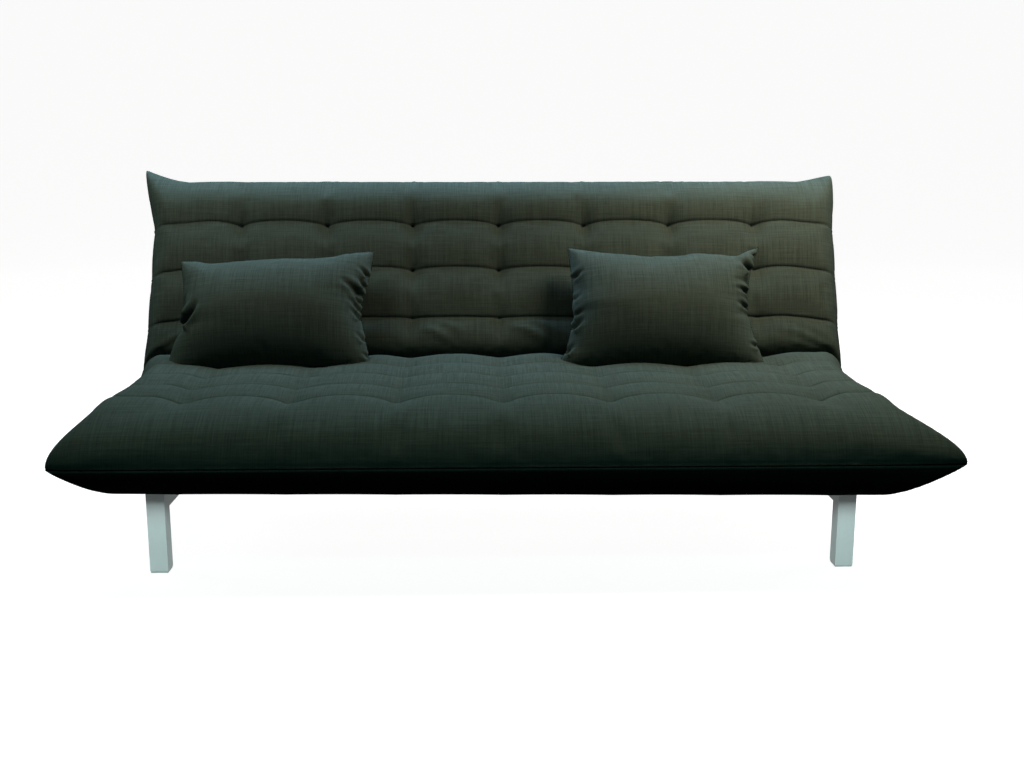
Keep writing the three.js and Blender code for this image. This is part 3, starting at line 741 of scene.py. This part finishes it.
def make_cushion(node, corners, edges, gathers):
    u, v, plan = cushion_plan(corners, edges)
    low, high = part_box(node)
    centre = np.array((low + high) / 2) + SETTLE
    swell = np.where(v < 0, (1 - np.abs(v) ** 1.6) ** 0.75, (1 - v * v) ** 0.55)
    share = (1 - np.abs(u) ** 3.0) ** 0.60 * swell
    share *= (np.abs(u) < 1) & (np.abs(v) < 1)
    turned = np.array(Matrix.Rotation(-CUSHION_LEAN, 3, "X"))
    front = np.stack([plan[..., 0], -CUSHION_FRONT * share, plan[..., 1]], -1) @ turned.T + centre
    rear = np.stack([plan[..., 0], CUSHION_REAR * share, plan[..., 1]], -1) @ turned.T + centre
    obj = closed_cloth(node + "_cover", front, rear, plan, CUSHION_LINEN)
    held = np.zeros(len(obj.data.vertices))
    on_rim = np.zeros(u.shape, bool)
    on_rim[0] = on_rim[-1] = True
    on_rim[:, 0] = on_rim[:, -1] = True
    held[: u.size][on_rim.ravel()] = 1
    loose = np.zeros(len(held))
    loose[: u.size] = smooth_step((np.abs(u.ravel()) - 0.55) / 0.4)
    inflate(obj, held, CUSHION_PUFF, loose)
    press(obj, gathered(plan, u, v, gathers).ravel())
    set_points(obj, rested(points_of(obj)))
    rim = rested(front)
    seams = [(rim[:, 0], (0, -0.4, -1)), (rim[:, -1], (0, -0.4, 1)), (rim[0], (-1, 0, 0)), (rim[-1], (1, 0, 0))]
    sewn = stitches(node + "_stitches", seams, THREAD)
    for piece in (obj, sewn):
        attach(piece, node)
    subdivide = obj.modifiers.new("smooth", "SUBSURF")
    subdivide.levels = subdivide.render_levels = 1
    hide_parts(node)


LEFT_EDGES = [  # left, right, lower and upper
    ([-1, -0.85, -0.63, -0.42, -0.22, 0, 0.5, 1], [0, 0.008, 0.013, 0.020, 0.036, 0.031, 0.019, 0]),
    ([-1, -0.79, -0.53, -0.25, -0.14, 0.17, 0.33, 0.52, 0.7, 1],
     [0, -0.006, -0.015, -0.025, -0.029, -0.027, -0.019, -0.011, -0.006, 0]),
    ([-1, 0, 1], [0, 0.004, 0]),
    ([-1, -0.85, -0.68, -0.27, 0.03, 0.41, 0.56, 0.75, 1],
     [0, -0.003, -0.0125, -0.009, -0.0085, -0.0125, -0.011, -0.003, 0]),
]
LEFT_GATHERS = [  # end, v at the seam, length, slant, half-width and depth
    (1, 0.52, 0.036, 0.85, 0.0052, 0.0125),
    (1, 0.33, 0.030, 1.00, 0.0050, 0.0110),
    (1, 0.17, 0.064, 0.72, 0.0068, 0.0160),
    (1, 0.05, 0.040, 0.90, 0.0050, 0.0115),
    (1, -0.08, 0.038, 0.90, 0.0050, 0.0110),
    (1, -0.22, 0.036, 0.85, 0.0052, 0.0110),
    (1, -0.58, 0.032, 0.80, 0.0052, 0.0085),
    (1, -0.84, 0.022, 0.70, 0.0050, 0.0060),
    (-1, 0.25, 0.032, 0.75, 0.0060, 0.0045),
    (-1, 0.00, 0.030, 1.20, 0.0046, 0.0120),
    (-1, -0.26, 0.082, 0.80, 0.0085, 0.0380),
]
RIGHT_EDGES = [
    ([-1, -0.9, -0.71, -0.43, -0.155, 0, 0.2, 0.45, 0.72, 1],
     [0, -0.003, 0.012, 0.019, 0.026, 0.020, 0.022, 0.016, 0.009, 0]),
    ([-1, -0.82, -0.63, -0.48, -0.26, -0.18, 0.03, 0.27, 0.53, 0.72, 0.88, 1],
     [0, -0.007, -0.018, -0.026, -0.033, -0.039, -0.039, -0.035, -0.028, -0.020, -0.008, 0]),
    ([-1, 0, 1], [0, -0.006, 0]),
    ([-1, -0.82, -0.57, -0.33, -0.14, -0.06, 0.11, 0.34, 0.55, 0.75, 0.85, 1],
     [0, -0.0075, -0.0165, -0.022, -0.028, -0.026, -0.026, -0.0185, -0.021, -0.026, -0.014, 0]),
]
RIGHT_GATHERS = [
    (-1, 0.45, 0.036, 0.40, 0.0058, 0.0120),
    (-1, 0.10, 0.024, 0.10, 0.0055, 0.0060),
    (-1, -0.16, 0.028, 0.05, 0.0052, 0.0110),
    (-1, -0.39, 0.040, 0.46, 0.0062, 0.0150),
    (-1, -0.77, 0.036, 0.60, 0.0058, 0.0110),
    (1, 0.84, 0.016, 0.20, 0.0045, 0.0070),
    (1, 0.56, 0.052, 0.75, 0.0090, 0.0190),
    (1, 0.36, 0.066, -0.05, 0.0085, 0.0065),
    (1, 0.19, 0.050, 0.10, 0.0056, 0.0130),
    (1, -0.07, 0.044, 0.25, 0.0060, 0.0140),
    (1, -0.68, 0.030, 0.20, 0.0054, 0.0105),
]
LEFT_CORNERS = [(-0.273, -0.169), (0.262, -0.157), (0.266, 0.167), (-0.247, 0.140)]
RIGHT_CORNERS = [(-0.271, -0.160), (0.265, -0.160), (0.272, 0.176), (-0.246, 0.176)]
make_cushion("left_cushion", LEFT_CORNERS, LEFT_EDGES, LEFT_GATHERS)
make_cushion("right_cushion", RIGHT_CORNERS, RIGHT_EDGES, RIGHT_GATHERS)


# ---- Materials of the CAD parts ---------------------------------------------------------------------------------
def material_for(node):
    if "leg_frame" in node:
        return LEG_PAINT
    if "slat" in node:
        return SEAT_BEECH if node.startswith("seat") else BACK_BEECH
    if "foot" in node:
        return PALE_PLASTIC
    if "buffer" in node:
        return RUBBER
    if "bolt" in node or "hinge" in node:
        return ZINC
    return FRAME_PAINT


for name, node in frame["nodes"].items():
    if not node.hide_render:
        node.data.materials.clear()
        node.data.materials.append(material_for(name))


# ---- Studio -----------------------------------------------------------------------------------------------------
def make_floor():
    """A round floor whose edge curves up into a wall. It glows, and lights nothing but what mirrors it."""
    radius, height, bend = 9.0, 7.0, 2.0
    turns = [math.radians(a) for a in range(0, 91, 10)]
    profile = [(0.0, 0.0), (3.0, 0.0)]
    profile += [(radius - bend + bend * math.sin(a), bend - bend * math.cos(a)) for a in turns]
    profile.append((radius, height))
    sides = 96
    points = [(0, 0, 0)]
    for r, z in profile[1:]:
        points += [(r * math.cos(t), r * math.sin(t), z) for t in np.linspace(0, 2 * math.pi, sides, False)]
    faces = [(0, 1 + i, 1 + (i + 1) % sides) for i in range(sides)]
    for ring in range(len(profile) - 2):
        a, b = 1 + ring * sides, 1 + (ring + 1) * sides
        faces += [(a + i, b + i, b + (i + 1) % sides, a + (i + 1) % sides) for i in range(sides)]
    n = Nodes("studio_floor")
    n.set(Base_Color=(0.40, 0.40, 0.40, 1), Roughness=0.9, Emission_Color=(1, 1, 1, 1), Emission_Strength=0.93)
    floor = new_object("studio_floor", points, faces, n.material)
    floor.location.z = -FLOOR_GAP
    floor.visible_diffuse = False


def area_light(name, place, aim, size, power, colour, spread=180):
    data = bpy.data.lights.new(name, "AREA")
    data.shape = "RECTANGLE"
    data.size, data.size_y = size
    data.energy = power
    data.color = colour
    data.spread = math.radians(spread)
    obj = bpy.data.objects.new(name, data)
    bpy.context.scene.collection.objects.link(obj)
    obj.location = place
    obj.rotation_euler = (Vector(aim) - Vector(place)).to_track_quat("-Z", "Y").to_euler()
    obj.visible_camera = False
    return obj


make_floor()
area_light("top_strip", (0.0, 0.60, 1.50), (0.0, 0.35, 0.50), (2.8, 0.2), 40, (0.50, 0.72, 1.0))
area_light("right_key", (1.0, -0.25, 1.55), (0.9, 0.42, 0.68), (0.6, 0.4), 21, (1.0, 0.83, 0.66))
area_light("left_key", (-1.0, -0.25, 1.55), (-0.9, 0.42, 0.68), (0.6, 0.4), 8.2, (1.0, 0.95, 0.85))
front_place, front_aim = (0.0, FRONT_Y - 0.55, 1.0), (0.0, FRONT_Y + 0.04, 0.34)
area_light("front_strip", front_place, front_aim, (2.6, 0.12), 0.56, (0.45, 1.0, 0.95), 60)
leg_place, leg_aim = (0.0, FRONT_Y - 1.0, 1.15), (0.0, FRONT_Y + 0.13, 0.08)
leg_strip = area_light("leg_strip", leg_place, leg_aim, (2.4, 0.45), 37, (0.90, 1.0, 1.0))
receivers = bpy.data.collections.new("leg_strip_receivers")  # it lights only the legs and the feet
for name, node in frame["nodes"].items():
    if "leg_frame" in name or "foot" in name:
        receivers.objects.link(node)
leg_strip.light_linking.receiver_collection = receivers
area_light("left_side", (-3.2, 0.7, 1.3), (-0.9, 0.4, 0.4), (1.2, 1.2), 9, (0.75, 1.0, 0.95))
area_light("right_side", (3.2, 0.7, 1.3), (0.9, 0.4, 0.4), (1.2, 1.2), 9, (1.0, 1.0, 0.92))
area_light("rear_fill", (0.4, 3.4, 0.9), (0.0, 0.4, 0.4), (3.0, 1.0), 35, (0.92, 1.0, 0.97))

world = bpy.data.worlds.new("studio")
bpy.context.scene.world = world
world.use_nodes = True
background = world.node_tree.nodes["Background"].inputs
background["Color"].default_value = (0.9, 0.95, 0.92, 1)
background["Strength"].default_value = 0.004


def make_camera():
    data = bpy.data.cameras.new("camera")
    data.sensor_width = 36
    data.lens = 40.35
    data.clip_start, data.clip_end = 0.05, 60
    camera = bpy.data.objects.new("camera", data)
    bpy.context.scene.collection.objects.link(camera)
    camera.location = (-0.046, FRONT_Y - 2.341, 0.923)
    camera.rotation_euler = Euler((math.radians(90 - 11.44), 0, math.radians(-1.49)))
    bpy.context.scene.camera = camera


make_camera()
bpy.context.scene.view_settings.view_transform = "Standard"
